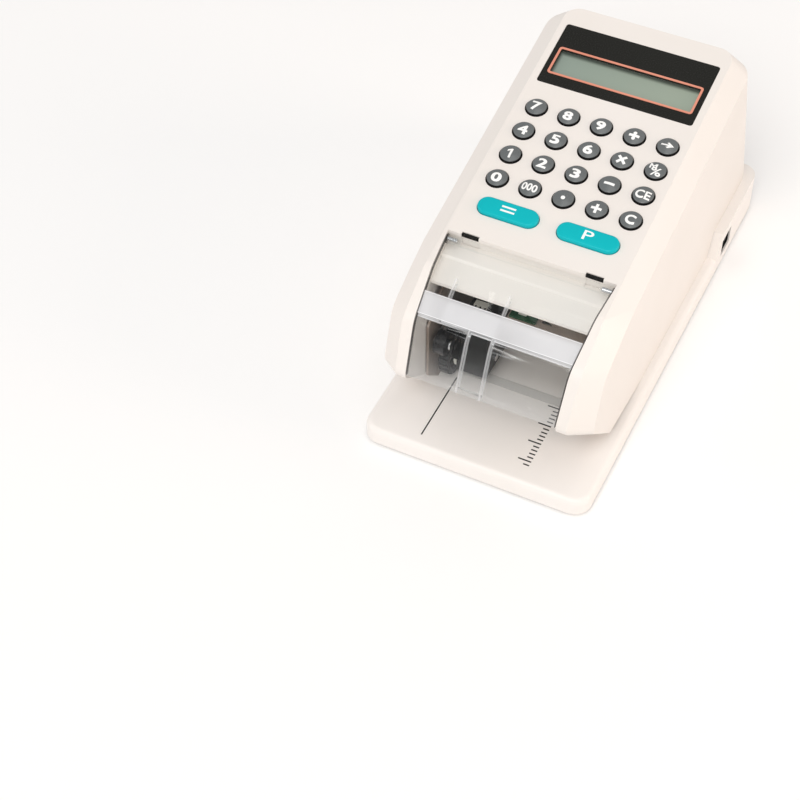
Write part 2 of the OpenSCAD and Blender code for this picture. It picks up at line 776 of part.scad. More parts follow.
module link_sockets() {
  top = deck_plate_z + deck_plate_t + 1.2;
  color("white") place() for (i = [0:1]) translate([-3 + 5.5 * i, 60.5 + 2 * i, top]) difference() {
    cube([4.2, 5.5, 4]);
    translate([0.8, 0.8, 1]) cube([2.6, 3.9, 4]);
  }
}

// Two rods, each with a collar that ends the carriage's travel
module guide_rods() {
  half = frame_x + frame_t + 0.6;
  stop_x = box_x + carriage_w + carriage_travel + slip;
  color("silver") place() for (r = [rear_rod, front_rod]) {
    bar(-half, half, r[0], r[1], rod_r);
    bar(stop_x, frame_x, r[0], r[1], rod_r + 1.5);
  }
}

// Spur gear in the plane, teeth with straight flanks that narrow towards the tip
module gear_outline(teeth, backlash) {
  pitch_r = gear_module * teeth / 2;
  half = 90 / teeth - backlash / 2 / pitch_r * 180 / PI;
  root_r = pitch_r - 1.2 * gear_module;
  tip_r = pitch_r + 0.85 * gear_module;
  circle(root_r);
  for (i = [0:teeth - 1]) rotate(i * 360 / teeth) polygon([
    for (p = [[root_r - 0.3, -1.45], [pitch_r, -1], [tip_r, -0.5],
              [tip_r, 0.5], [pitch_r, 1], [root_r - 0.3, 1.45]])
      [p[0] * cos(p[1] * half), p[0] * sin(p[1] * half)]]);
}

// Turns a plan in the xy plane into one in the side view (y, z), starting at x
module across(x, y, z, w, turn = 0) {
  translate([x, y, z]) rotate([90, 0, 90]) linear_extrude(w) rotate(turn) children();
}

module carriage_box() {
  x1 = box_x + carriage_w;
  inside = box_wall;
  color("black") place() difference() {
    union() {
      difference() {
        slab(box_x, x1, [[box_front, box_low], [box_front, box_high - box_cut],
          [box_front + box_cut, box_high], [box_back, box_high], [box_back, box_low]]);
        slab(box_x + inside, x1 - inside, [[box_front + inside, 0],
          [box_front + inside, box_high - box_cut - 0.6], [box_front + box_cut + 0.6, box_high - inside],
          [box_back - inside, box_high - inside], [box_back - inside, 0]]);
      }
      slab(box_x, box_x + inside, [[ink_y - ink_ear, ink_z - ink_ear], [ink_y - ink_ear, ink_z + ink_ear],
        [box_front + 1, box_high - box_cut + 1], [box_front + 1, box_low + box_cut]]);
      for (r = [rear_rod, front_rod]) bar(box_x, x1, r[0], r[1], rod_r + 1.6);
      bar(x1 - 4, x1, type_y, type_z, 4);
      translate([box_x + carriage_w / 2 - 4, box_back - 1, belt_z + pulley_r + belt_t + slip])
        cube([8, belt_w + 0.8, 1.8]);
    }
    for (r = [rear_rod, front_rod]) bar(box_x - 1, x1 + 1, r[0], r[1], rod_r + fit);
    bar(box_x - 1, x1 + 1, type_y, type_z, type_shaft_r + fit);
    bar(box_x - 1, box_x + 3, pinion_y, pinion_z, 1.8);
    bar(box_x - 1, box_x + 3, ink_y, ink_z, ink_pin_r);
  }
}

module carriage_socket() {
  color("white") place() translate([box_x + 2.5, 60, box_high]) cube([7, 3.6, 1.4]);
}

module type_wheel() {
  rim_r = type_r - 1;
  slug = 1.9;
  color("black") place() difference() {
    across(wheel_x, type_y, type_z, type_w) union() {
      difference() {
        circle(rim_r, $fn = 96);
        circle(rim_r - 2.4);
      }
      circle(4);
      for (i = [0:4]) rotate(i * 72 + 30) translate([3, -1.2]) square([rim_r - 4.5, 2.4]);
      for (i = [0:type_count - 1]) rotate((i + 0.5) * 360 / type_count - 90)
        translate([rim_r - 0.5, -slug / 2]) square([1.5 - 0.02, slug]);
    }
    bar(wheel_x - 1, wheel_x + type_w + 1, type_y, type_z, type_shaft_r + 0.02);
  }
}

module type_gear() {
  color("whitesmoke") place() across(gear_x, type_y, type_z, gear_w, pinion_angle) difference() {
    gear_outline(gear_teeth, 0.22);
    circle(type_shaft_r + 0.02);
  }
}

module type_shaft() {
  color("silver") place() {
    bar(wheel_x - 0.8, box_x + carriage_w + 0.8, type_y, type_z, type_shaft_r);
    bar(wheel_x + type_w, gear_x, type_y, type_z, 3.2);
  }
}

module motor_pinion() {
  place() {
    color("goldenrod") across(gear_x - 0.2, pinion_y, pinion_z, gear_w + 0.4,
      pinion_angle + 180 + 180 / pinion_teeth) gear_outline(pinion_teeth, 0.22);
    color("silver") bar(gear_x + gear_w - 0.2, box_x + 7, pinion_y, pinion_z, 1);
  }
}

module type_motor() {
  x0 = box_x + box_wall;
  color("silver") place() difference() {
    union() {
      bar(x0, x0 + 11, pinion_y, pinion_z, motor_r);
      bar(x0 + 10, x0 + 13, pinion_y, pinion_z, 3);
    }
    bar(x0 - 1, box_x + 8, pinion_y, pinion_z, 1 + fit);
  }
}

module ink_roller() {
  color("black") place() difference() {
    union() {
      bar(wheel_x - 0.4, wheel_x + type_w + 0.4, ink_y, ink_z, ink_r);
      bar(wheel_x - 1.2, wheel_x + type_w + 1.2, ink_y, ink_z, 2.8);
    }
    bar(wheel_x - 2, wheel_x + type_w + 2, ink_y, ink_z, ink_pin_r + fit);
  }
}

module ink_spindle() {
  color("silver") place() {
    bar(wheel_x - 2, box_x + box_wall, ink_y, ink_z, ink_pin_r);
    bar(wheel_x + type_w + 1.5, box_x, ink_y, ink_z, 2.6);
  }
}

// ---- belt drive

module belt_outline(r) {
  square([2 * belt_x, 2 * r], center = true);
  for (s = [-1, 1]) translate([s * belt_x, 0]) circle(r);
}

module drive_belt() {
  color("black") place() translate([0, belt_y + belt_w - 0.6, belt_z]) rotate([90, 0, 0])
    linear_extrude(belt_w - 1.2) difference() {
      belt_outline(pulley_r + fit + belt_t);
      belt_outline(pulley_r + fit);
    }
}

module pulley() {
  cylinder(r = pulley_r, h = belt_w);
  for (z = [0, belt_w - 0.5]) translate([0, 0, z]) cylinder(r = pulley_r + 0.8, h = 0.5);
}

module drive_pulley() {
  color("whitesmoke") place() translate([belt_x, belt_y + belt_w, belt_z]) rotate([90, 0, 0]) {
    pulley();
    translate([0, 0, -12]) cylinder(r = pulley_pin_r, h = 13);
  }
}

module idler_pulley() {
  color("whitesmoke") place() translate([-belt_x, belt_y + belt_w, belt_z]) rotate([90, 0, 0])
    difference() {
      pulley();
      translate([0, 0, -1]) cylinder(r = pulley_pin_r + fit, h = belt_w + 2);
    }
}

module drive_motor() {
  front = rear_plate_y + deck_plate_t;
  color("silver") place() translate([belt_x, front + drive_motor_l, belt_z]) rotate([90, 0, 0])
    difference() {
      union() {
        cylinder(r = drive_motor_r, h = drive_motor_l);
        translate([0, 0, -2]) cylinder(r = 4, h = 3);
      }
      translate([0, 0, 6]) cylinder(r = pulley_pin_r + fit, h = drive_motor_l);
    }
}

module platen_bar() {
  half = nose_half - 2;
  color("dimgray") place() {
    translate([-half, type_y - platen_w / 2, platen_z + slip])
      cube([2 * half, platen_w, bed_z - platen_z - slip]);
  }
}

// ---- switch and power inlet

module switch_frame() {
  depth = 11;
  x0 = base_w / 2 - 0.8 - depth;
  color("black") place() difference() {
    translate([x0, switch_y - switch_l / 2, switch_z - switch_h / 2]) cube([depth, switch_l, switch_h]);
    translate([x0 + 3, switch_y - switch_l / 2 + 1, switch_z - switch_h / 2 + 1])
      cube([depth, switch_l - 2, switch_h - 2]);
    translate([rocker_x, switch_y, switch_z - switch_h / 2 - 1]) cylinder(r = 1 + fit, h = switch_h + 2);
  }
}

module switch_rocker() {
  half = switch_h / 2 - 1 - slip;
  color("black") place() translate([rocker_x, switch_y, switch_z]) rotate(rocker_tilt) {
    translate([0, 0, -half]) linear_extrude(2 * half)
      polygon([[-3, -2.6], [0.5, -5.2], [4.2, -5.4], [3.4, 0], [4.2, 5.4], [0.5, 5.2], [-3, 2.6]]);
    translate([0, 0, -switch_h / 2 + 0.2]) cylinder(r = 1, h = switch_h - 0.4);
  }
}

module power_jack() {
  inner = base_l - base_wall;
  color("black") place() difference() {
    union() {
      translate([jack_x - 5, inner - 12, jack_z - 5]) cube([10, 12, 10]);
      translate([jack_x, base_l - 0.2, jack_z]) rotate([90, 0, 0]) cylinder(r = jack_r, h = base_wall + 1);
    }
    difference() {
      translate([jack_x, base_l + 1, jack_z]) rotate([90, 0, 0]) cylinder(r = 2.75, h = 10);
      translate([jack_x, base_l - 1.5, jack_z]) rotate([90, 0, 0]) cylinder(r = 1, h = 12);
    }
  }
}

base_tray();
bottom_plate();
rubber_feet();
case_screws();
housing();
window_cover();
hinge_pins();
display_panel();
display_frame();
lcd_module();
key_mat();
keypad_board();
board_screws();
main_board();
board_parts();
frame_left();
frame_right();
cross_plate();
link_board();
link_sockets();
guide_rods();
carriage_box();
carriage_socket();
type_wheel();
type_gear();
type_shaft();
type_motor();
motor_pinion();
ink_roller();
ink_spindle();
drive_belt();
drive_motor();
drive_pulley();
idler_pulley();
platen_bar();
switch_frame();
switch_rocker();
power_jack();
for (k = KEYS) round_key(column_x(k[1]), k[2] * key_pitch_y);
for (k = WIDE_KEYS) wide_key(k[1] * wide_key_x);
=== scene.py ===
# Check writer in cream ABS with a clear nose cover, on a pale floor. Metres, +Z up, front lip at -Y. The
# dictionaries below give sizes in mm, and depths run from the front edge of the base.
import math
import bpy
import bmesh
import numpy as np
from mathutils import Matrix, Vector


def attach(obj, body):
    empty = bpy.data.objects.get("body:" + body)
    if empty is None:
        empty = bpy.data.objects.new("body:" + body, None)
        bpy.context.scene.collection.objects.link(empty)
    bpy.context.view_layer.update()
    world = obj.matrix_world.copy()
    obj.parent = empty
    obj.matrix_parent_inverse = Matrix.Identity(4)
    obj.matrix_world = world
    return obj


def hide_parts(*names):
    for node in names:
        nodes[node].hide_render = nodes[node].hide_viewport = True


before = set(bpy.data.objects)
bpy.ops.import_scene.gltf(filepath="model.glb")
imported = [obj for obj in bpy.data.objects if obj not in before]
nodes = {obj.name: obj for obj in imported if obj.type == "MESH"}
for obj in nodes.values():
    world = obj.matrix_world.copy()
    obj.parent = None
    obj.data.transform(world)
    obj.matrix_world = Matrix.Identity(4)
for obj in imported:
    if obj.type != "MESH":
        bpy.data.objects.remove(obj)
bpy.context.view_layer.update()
mm = 0.001
scene = bpy.context.scene

# the places that the pieces share with the solids, and the angle from which an edge is drawn sharp
machine = dict(baseLength=257, bedHeight=11, slope=math.radians(10.4), rowY=102.5, panelHeight=103.5,
               pitchX=17.67, pitchY=16.41, columnShift=0.7, sharpEdge=math.radians(40))


def onPanel(points):
    # x, distance up the slope from the lowest key row and height over the panel, turned into world metres
    p = np.asarray(points, float)
    c, s = math.cos(machine["slope"]), math.sin(machine["slope"])
    y = machine["rowY"] + p[..., 1] * c - p[..., 2] * s - machine["baseLength"] / 2
    z = machine["panelHeight"] + p[..., 1] * s + p[..., 2] * c
    return np.stack([p[..., 0], y, z], -1) * mm


def onBase(points):
    # moves points given from the front edge to world metres
    p = np.array(points, float)
    p[..., 1] -= machine["baseLength"] / 2
    return p * mm


def toLinear(hexColour):
    # an sRGB hex colour as the linear values that the shaders take
    parts = [int(hexColour[i:i + 2], 16) / 255 for i in (1, 3, 5)]
    return tuple(c / 12.92 if c <= 0.04045 else ((c + 0.055) / 1.055) ** 2.4 for c in parts) + (1.0,)


def addNode(tree, kind, values=None, links=None, **settings):
    # one shader node with its own settings, its socket values and the sockets that feed it
    node = tree.nodes.new(kind)
    for name, value in settings.items():
        setattr(node, name, value)
    for name, value in (values or {}).items():
        node.inputs[name].default_value = value
    for name, source in (links or {}).items():
        tree.links.new(source, node.inputs[name])
    return node


def newMaterial(name):
    # an empty material, its node tree and its Object coordinates
    material = bpy.data.materials.new(name)
    material.use_nodes = True
    tree = material.node_tree
    tree.nodes.clear()
    coordinates = addNode(tree, "ShaderNodeTexCoord").outputs["Object"]
    return material, tree, coordinates


def calculate(tree, operation, first, second=0.0):
    # one sum of two values, each a socket or a number
    given = {0: first, 1: second}
    numbers = {k: v for k, v in given.items() if isinstance(v, (int, float))}
    sockets = {k: v for k, v in given.items() if k not in numbers}
    return addNode(tree, "ShaderNodeMath", numbers, sockets, operation=operation).outputs[0]


def speckle(tree, coordinates, sizeMm, detail=2.0, roughness=0.5):
    # noise whose grains are about sizeMm across
    values = {"Scale": 1000 / sizeMm, "Detail": detail, "Roughness": roughness}
    return addNode(tree, "ShaderNodeTexNoise", values, {"Vector": coordinates}).outputs["Fac"]


def spread(tree, value, low, high, fromLow=0.3, fromHigh=0.7):
    # a value between fromLow and fromHigh, carried over to the run from low to high and clamped there
    limits = {"From Min": fromLow, "From Max": fromHigh, "To Min": low, "To Max": high}
    return addNode(tree, "ShaderNodeMapRange", limits, {"Value": value}).outputs["Result"]


def blendColours(tree, factor, first, second):
    # inputs 0, 6 and 7 of a colour mix are its factor and its two colours, and output 2 is the result
    colours = {6: toLinear(first), 7: toLinear(second)}
    return addNode(tree, "ShaderNodeMix", colours, {0: factor}, data_type="RGBA").outputs[2]


def finishMaterial(material, tree, shader):
    addNode(tree, "ShaderNodeOutputMaterial", links={"Surface": shader})
    return material


plasticLook = dict(grainDetail=3.0, grainRoughness=0.6, cloudMm=60, bump=0.5)


def mouldedPlastic(name, colour, shade, grainMm, grainDepthMm, gloss, sockets=None):
    # a tooled cavity's fine grain gives the broken highlight, slow clouds keep the colour from being flat
    look = plasticLook
    material, tree, at = newMaterial(name)
    grain = speckle(tree, at, grainMm, look["grainDetail"], look["grainRoughness"])
    cloud = speckle(tree, at, look["cloudMm"])
    bump = addNode(tree, "ShaderNodeBump", {"Strength": look["bump"], "Distance": grainDepthMm * mm},
                   {"Height": grain})
    body = addNode(tree, "ShaderNodeBsdfPrincipled", sockets, {
        "Base Color": blendColours(tree, spread(tree, cloud, 0, 1), colour, shade),
        "Roughness": spread(tree, grain, gloss[0], gloss[1]),
        "Normal": bump.outputs["Normal"]})
    return finishMaterial(material, tree, body.outputs["BSDF"])


metalLook = dict(stretch=0.04, lineDetail=4.0, lineRoughness=0.65, cloudMm=12, bump=0.35, lineDepth=0.02)


def workedMetal(name, colour, shade, along, lineMm, gloss, metallic=1.0):
    # lines left by drawing or rolling run along one axis, so the highlight is streaked across it
    look = metalLook
    material, tree, at = newMaterial(name)
    stretch = [1.0, 1.0, 1.0]
    stretch[along] = look["stretch"]
    turned = addNode(tree, "ShaderNodeMapping", {"Scale": stretch}, {"Vector": at}).outputs["Vector"]
    lines = speckle(tree, turned, lineMm, look["lineDetail"], look["lineRoughness"])
    cloud = speckle(tree, at, look["cloudMm"])
    bump = addNode(tree, "ShaderNodeBump", {"Strength": look["bump"], "Distance": look["lineDepth"] * mm},
                   {"Height": lines})
    body = addNode(tree, "ShaderNodeBsdfPrincipled", {"Metallic": metallic}, {
        "Base Color": blendColours(tree, spread(tree, cloud, 0, 1), colour, shade),
        "Roughness": spread(tree, lines, gloss[0], gloss[1]),
        "Normal": bump.outputs["Normal"]})
    return finishMaterial(material, tree, body.outputs["BSDF"])


softLook = {"Specular IOR Level": 0.2}  # for faces that mirror little of the white room
# satin ABS: the mould's fine texture breaks the highlight on the walls, and the keys are polished more
creamAbs = mouldedPlastic("cream ABS, moulded satin", "#EFE9E4", "#ECE6E0", 0.55, 0.008, (0.36, 0.46))
# the base takes the same cream painted lighter, painted light against the shade that the housing casts on the
# bed
litBaseAbs = mouldedPlastic("cream ABS of the base painted lighter, moulded satin", "#F4EFEB", "#F1ECE7", 0.55, 0.008,
                         (0.36, 0.46))
greyKey = mouldedPlastic("grey ABS key, moulded satin", "#6A6E6F", "#626667", 0.4, 0.01, (0.2, 0.3))
# the black of the key skirt is painted shade of the gap round each key
keyShadeSkirt = mouldedPlastic("black key skirt, painted shade of its gap, moulded", "#0E0E0F", "#141415", 0.4, 0.01, (0.5, 0.6),
                          softLook)
tealKey = mouldedPlastic("teal ABS key, moulded satin", "#00BAC2", "#00B3BC", 0.5, 0.006, (0.3, 0.4),
                         softLook)
# ink and screen print lie flat and thin: even colour, a faint tooth and soft gloss
printWhite = mouldedPlastic("white pad printing ink", "#FDFDFC", "#F8F8F6", 0.3, 0.004, (0.4, 0.5))
printBlack = mouldedPlastic("black pad printing ink", "#121212", "#1A1918", 0.3, 0.004, (0.55, 0.65),
                            softLook)
displayBlack = mouldedPlastic("black screen print on acrylic", "#22221F", "#1E1E1B", 0.6, 0.003, (0.22, 0.3),
                              softLook)
copperLine = mouldedPlastic("copper screen print line", "#E79A82", "#DE8E76", 0.3, 0.006, (0.35, 0.45))
# nylon has a dull gloss, and the glass in the black kind leaves its skin a little uneven
blackNylon = mouldedPlastic("black glass-filled nylon, moulded matt", "#0A0C0E", "#121517", 0.35, 0.006,
                            (0.34, 0.46), softLook)
naturalNylon = mouldedPlastic("natural nylon, moulded", "#ECEAE2", "#DFDCD1", 0.5, 0.01, (0.35, 0.48))
# rubbers scatter light broadly, and the ink on the roller looks wet
siliconeGrey = mouldedPlastic("grey silicone rubber, moulded", "#BDBBB6", "#B2B0AB", 0.4, 0.01, (0.5, 0.62))
paleRubber = mouldedPlastic("pale grey platen rubber, ground", "#D6D3CF", "#CBC8C4", 0.4, 0.02, (0.55, 0.7))
footRubber = mouldedPlastic("black rubber, moulded", "#2A2A29", "#353433", 0.5, 0.02, (0.6, 0.75))
inkedRubber = mouldedPlastic("inked rubber", "#0C0C10", "#15151B", 0.5, 0.06, (0.2, 0.32))
# lacquer over woven glass, smooth and glossy
boardGreen = mouldedPlastic("solder mask on glass epoxy", "#1F5A38", "#194D2F", 0.8, 0.02, (0.25, 0.35))
# zinc passivated in the bath turns dull and brownish and mirrors little, while ground and cut metal mirrors in
# streaks
# the deck is the same zinc plated sheet painted lighter, painted light against the shade that the shelf casts
# on it
litDeckSteel = workedMetal("zinc plated deck painted lighter, rolled", "#C2B2A6", "#B2A296", 1, 0.5, (0.45, 0.6), 0.1)
zincSheet = workedMetal("zinc plated sheet steel, rolled", "#9A8A80", "#887A70", 1, 0.5, (0.38, 0.55), 0.35)
groundSteel = workedMetal("ground steel rod", "#D8D8DA", "#C9C9CC", 0, 0.25, (0.16, 0.3))
brassCut = workedMetal("brass, cut", "#D9B35E", "#C9A14E", 1, 0.3, (0.22, 0.35))


# the painted shade's left and back places are from the middle of the base; rim is its dark colour and depth
# its strongest
lcdGlass = dict(colour="#9CA898", shade="#8B9A90", rim="#3A413C", halfLength=40, leftRim=-38.2, backRim=63.3,
                rimWidth=1.9, depth=0.8, coat=0.4, coatRoughness=0.06, grainMm=0.4, gloss=(0.3, 0.38))


def makeLcd():
    # the polariser over the liquid crystal looks grey green, with a faint tilt of shade along its length, and
    # painted shade darkens it under the window's back and left edges, where the recess's walls shade it
    g = lcdGlass
    material, tree, at = newMaterial("liquid crystal polariser")
    parts = addNode(tree, "ShaderNodeSeparateXYZ", links={"Vector": at})
    x, y = parts.outputs["X"], parts.outputs["Y"]
    shade = spread(tree, x, 0, 1, -g["halfLength"] * mm, g["halfLength"] * mm)
    # the recess's painted shade, deepest under the window's left and back edges
    left = spread(tree, x, g["depth"], 0, g["leftRim"] * mm, (g["leftRim"] + g["rimWidth"]) * mm)
    back = spread(tree, y, 0, g["depth"], (g["backRim"] - g["rimWidth"]) * mm, g["backRim"] * mm)
    glass = blendColours(tree, shade, g["shade"], g["colour"])
    paintedShade = addNode(tree, "ShaderNodeMix", {7: toLinear(g["rim"])},
                   {0: calculate(tree, "MAXIMUM", left, back), 6: glass}, data_type="RGBA")
    coat = {"Coat Weight": g["coat"], "Coat Roughness": g["coatRoughness"]}
    body = addNode(tree, "ShaderNodeBsdfPrincipled", coat, {
        "Base Color": paintedShade.outputs[2],
        "Roughness": spread(tree, speckle(tree, at, g["grainMm"]), *g["gloss"])})
    return finishMaterial(material, tree, body.outputs["BSDF"])


lcdFace = makeLcd()

# depths of the frosted band and of each rib are from the front edge, and a rib is its x and its two depths
# the white at the band's rims and along the ribs is painted highlight, the white low on the tip painted
# reflection, and the dark at the cut edges painted shade
coverSheet = dict(bandFront=22.4, bandBack=32.0, soft=0.4, milk="#FBFCFF", tint="#FDFEFE", frosting=0.66,
                  rimLine=0.5, rimSoft=0.3, rimHighlight=0.92, diffused=0.3, lowReflection=0.1, lowReflectionFrom=51.0, lowReflectionTo=69.0,
                  ribs=((-28.4, 22.4, 41.5), (-12.6, 5.0, 22.4), (-0.4, 5.0, 41.5)), ribWidth=1.0,
                  ribSoft=0.2, ribHighlight=0.4, mirrorFacing=0.014, mirrorGrazing=0.6, mirrorPower=5.0,
                  polish=0.05, grainMm=0.3, grainDetail=3.0, grainBump=0.3, grainDepth=0.02,
                  frostGloss=(0.35, 0.5), acrylicIor=1.49, noseHalf=39.5, taper=4.6 / 57.9, tipY=7.5, gap=0.4,
                  cutEdge=0.3, gapShadeColour="#3A3836", edgeRoughness=0.4, edgeShade=0.8)


def nearValue(tree, value, middle, half, soft):
    # 1 within half of the middle, falling to 0 over the soft edge
    off = calculate(tree, "ABSOLUTE", calculate(tree, "SUBTRACT", value, middle * mm))
    return spread(tree, off, 1, 0, (half - soft / 2) * mm, (half + soft / 2) * mm)


def bandBetween(tree, value, low, high, soft, weight):
    # the weight between two depths from the front edge
    middle = (low + high) / 2 - machine["baseLength"] / 2
    return calculate(tree, "MULTIPLY", nearValue(tree, value, middle, (high - low) / 2, soft), weight)


def frostAndPaintedLight(tree, x, y, z):
    # how white the cover is at a place: its frosted band, the painted highlights along the band's two rims and
    # along its ribs, and the painted reflection low on its tip
    c = coverSheet
    whiteness = bandBetween(tree, y, c["bandFront"], c["bandBack"], c["soft"], c["frosting"])
    # painted reflection: the cover whitened low on its tip
    paintedReflection = spread(tree, z, c["lowReflection"], 0, c["lowReflectionFrom"] * mm, c["lowReflectionTo"] * mm)
    whiteness = calculate(tree, "MAXIMUM", whiteness, paintedReflection)
    # painted highlights along the band's two rims
    for rim in (c["bandFront"], c["bandBack"]):
        low, high = rim - c["rimLine"] / 2, rim + c["rimLine"] / 2
        line = bandBetween(tree, y, low, high, c["rimSoft"], c["rimHighlight"])
        whiteness = calculate(tree, "MAXIMUM", whiteness, line)
    # painted highlights along the ribs
    for ribX, low, high in c["ribs"]:
        along = bandBetween(tree, y, low, high, c["soft"], c["ribHighlight"])
        across = nearValue(tree, x, ribX, c["ribWidth"] / 2, c["ribSoft"])
        whiteness = calculate(tree, "MAXIMUM", whiteness, calculate(tree, "MULTIPLY", across, along))
    return whiteness


def gapShadeAtEdge(tree, x, y):
    # the half width of the cover at a depth less the distance from the middle is small only at a cut edge, and
    # the painted shade of the gap beside that edge fades out over the edge's width
    c = coverSheet
    front = c["noseHalf"] - c["gap"] + c["taper"] * (machine["baseLength"] / 2 - c["tipY"])
    half = calculate(tree, "ADD", calculate(tree, "MULTIPLY", y, c["taper"]), front * mm)
    inside = calculate(tree, "SUBTRACT", half, calculate(tree, "ABSOLUTE", x))
    return spread(tree, inside, c["edgeShade"], 0.0, 0.5 * c["cutEdge"] * mm, 1.5 * c["cutEdge"] * mm)


def makeCover():
    # moulded acrylic passes light untinted and mirrors mostly where it is seen at a slant, its frosted band is
    # sandblasted white, the white along its thin ribs and the band's rims is painted highlight, the white low
    # on its tip is painted reflection, and the dark along its cut edges is painted shade of the gap beside
    # them
    c = coverSheet
    material, tree, at = newMaterial("clear acrylic with a frosted band")
    parts = addNode(tree, "ShaderNodeSeparateXYZ", links={"Vector": at})
    x, y, z = parts.outputs["X"], parts.outputs["Y"], parts.outputs["Z"]
    facing = addNode(tree, "ShaderNodeLayerWeight", {"Blend": 0.5}).outputs["Facing"]
    slant = calculate(tree, "POWER", facing, c["mirrorPower"])
    mirror = spread(tree, slant, c["mirrorFacing"], c["mirrorGrazing"], 0.0, 1.0)
    through = addNode(tree, "ShaderNodeBsdfTransparent", {"Color": toLinear(c["tint"])})
    gloss = addNode(tree, "ShaderNodeBsdfPrincipled", {
        "Base Color": toLinear("#FFFFFF"), "Metallic": 1.0, "Roughness": c["polish"]})
    clear = addNode(tree, "ShaderNodeMixShader",
                    links={0: mirror, 1: through.outputs[0], 2: gloss.outputs[0]})
    fine = speckle(tree, at, c["grainMm"], c["grainDetail"])
    bump = addNode(tree, "ShaderNodeBump", {"Strength": c["grainBump"], "Distance": c["grainDepth"] * mm},
                   {"Height": fine})
    milk = {"Base Color": toLinear(c["milk"]), "IOR": c["acrylicIor"]}
    face = addNode(tree, "ShaderNodeBsdfPrincipled", milk, {
        "Roughness": spread(tree, fine, *c["frostGloss"]), "Normal": bump.outputs["Normal"]})
    glow = addNode(tree, "ShaderNodeBsdfTranslucent", {"Color": toLinear(c["milk"])})
    frost = addNode(tree, "ShaderNodeMixShader", {0: c["diffused"]}, {1: face.outputs[0], 2: glow.outputs[0]})
    both = addNode(tree, "ShaderNodeMixShader",
                   links={0: frostAndPaintedLight(tree, x, y, z), 1: clear.outputs[0], 2: frost.outputs[0]})
    # painted shade of the gap beside the cut edges
    gapShade = addNode(tree, "ShaderNodeBsdfPrincipled", {
        "Base Color": toLinear(c["gapShadeColour"]), "Roughness": c["edgeRoughness"]})
    whole = addNode(tree, "ShaderNodeMixShader",
                    links={0: gapShadeAtEdge(tree, x, y), 1: both.outputs[0], 2: gapShade.outputs[0]})
    return finishMaterial(material, tree, whole.outputs[0])


clearCover = makeCover()
print("materials made")


def addPiece(name, mesh, body, replaced=None):
    # puts a finished mesh into the scene on its body, in the place of a node where it stands for one
    piece = bpy.data.objects.new(name, mesh)
    scene.collection.objects.link(piece)
    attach(piece, body)
    if replaced:
        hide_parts(replaced)
    return piece


def newPiece(name, points, faces, material, body, replaced=None, smooth=True):
    mesh = bpy.data.meshes.new(name)
    mesh.from_pydata(np.asarray(points, float).reshape(-1, 3).tolist(), [], [tuple(f) for f in faces])
    mesh.validate()
    mesh.update()
    mesh.materials.append(material)
    mesh.polygons.foreach_set("use_smooth", np.full(len(mesh.polygons), smooth))
    return addPiece(name, mesh, body, replaced)


def ringFaces(n, m):
    # four-sided faces between n rings of m points, with a face over the last ring and one under the first
    i, j = np.meshgrid(np.arange(n - 1), np.arange(m), indexing="ij")
    sides = np.stack([i * m + j, i * m + (j + 1) % m, (i + 1) * m + (j + 1) % m, (i + 1) * m + j], -1)
    return sides.reshape(-1, 4).tolist() + [list(range((n - 1) * m, n * m)), list(range(m))[::-1]]


def stacked(x, y, height):
    # rings of points from their x, their y and one height for each ring
    return np.stack([x, y, np.broadcast_to(height[:, None], x.shape)], -1)


# points nearer than doubles are merged, faces within flat of each other too, and edges past sharp are rounded
rounding = dict(doubles=0.002, flat=math.radians(1.0), sharp=math.radians(32))


def softened(name, node, material, body, width, segments=2):
    # a merged copy of a solid with its edges rounded as a mould rounds them
    mesh = nodes[node].data.copy()
    mesh.name = name
    work = bmesh.new()
    work.from_mesh(mesh)
    bmesh.ops.remove_doubles(work, verts=work.verts, dist=rounding["doubles"] * mm)
    bmesh.ops.dissolve_limit(work, angle_limit=rounding["flat"], verts=work.verts, edges=work.edges,
                             use_dissolve_boundaries=False)
    work.to_mesh(mesh)
    work.free()
    mesh.materials.clear()
    mesh.materials.append(material)
    mesh.polygons.foreach_set("use_smooth", np.full(len(mesh.polygons), True))
    mesh.polygons.foreach_set("material_index", np.zeros(len(mesh.polygons), int))
    mesh.update()
    mesh.set_sharp_from_angle(angle=rounding["sharp"])
    bevel = addPiece(name, mesh, body, node).modifiers.new("edge rounding", "BEVEL")
    bevel.width = width * mm
    bevel.segments = segments
    bevel.limit_method = "ANGLE"
    bevel.angle_limit = rounding["sharp"]
    bevel.harden_normals = True
    bevel.use_clamp_overlap = True


softened("housing_shell", "housing", creamAbs, "base", 0.6, segments=3)
softened("base_shell", "base_tray", litBaseAbs, "base", 0.35)
softened("nose_cover", "window_cover", clearCover, "cover", 0.2)
softened("head_box", "carriage_box", blackNylon, "carriage", 0.35)
softened("left_frame", "frame_left", zincSheet, "base", 0.15)
softened("right_frame", "frame_right", zincSheet, "base", 0.15)
softened("deck_sheet", "cross_plate", litDeckSteel, "base", 0.15)
softened("rocker_cap", "switch_rocker", blackNylon, "rocker", 0.3)
softened("rocker_frame", "switch_frame", blackNylon, "base", 0.2)
print("shells made")


# heights are over the panel, and the cap is black up to skirtSteps steps of its rounded edge, painted shade of
# the gap round the key
keyCap = dict(radius=5.35, top=2.3, crown=0.95, edge=0.8, around=48, bendSteps=9, skirtSteps=3, flangeZ=-3.4,
              flange=1.0, flangeReach=0.8, hollow=3.7, hollowDepth=2.0, eye=0.15)
keyRows = [("key_7", 0, 3), ("key_8", 1, 3), ("key_9", 2, 3), ("key_divide", 3, 3), ("key_arrow", 4, 3),
           ("key_4", 0, 2), ("key_5", 1, 2), ("key_6", 2, 2), ("key_times", 3, 2), ("key_percent", 4, 2),
           ("key_1", 0, 1), ("key_2", 1, 1), ("key_3", 2, 1), ("key_minus", 3, 1), ("key_ce", 4, 1),
           ("key_0", 0, 0), ("key_000", 1, 0), ("key_point", 2, 0), ("key_plus", 3, 0), ("key_c", 4, 0)]
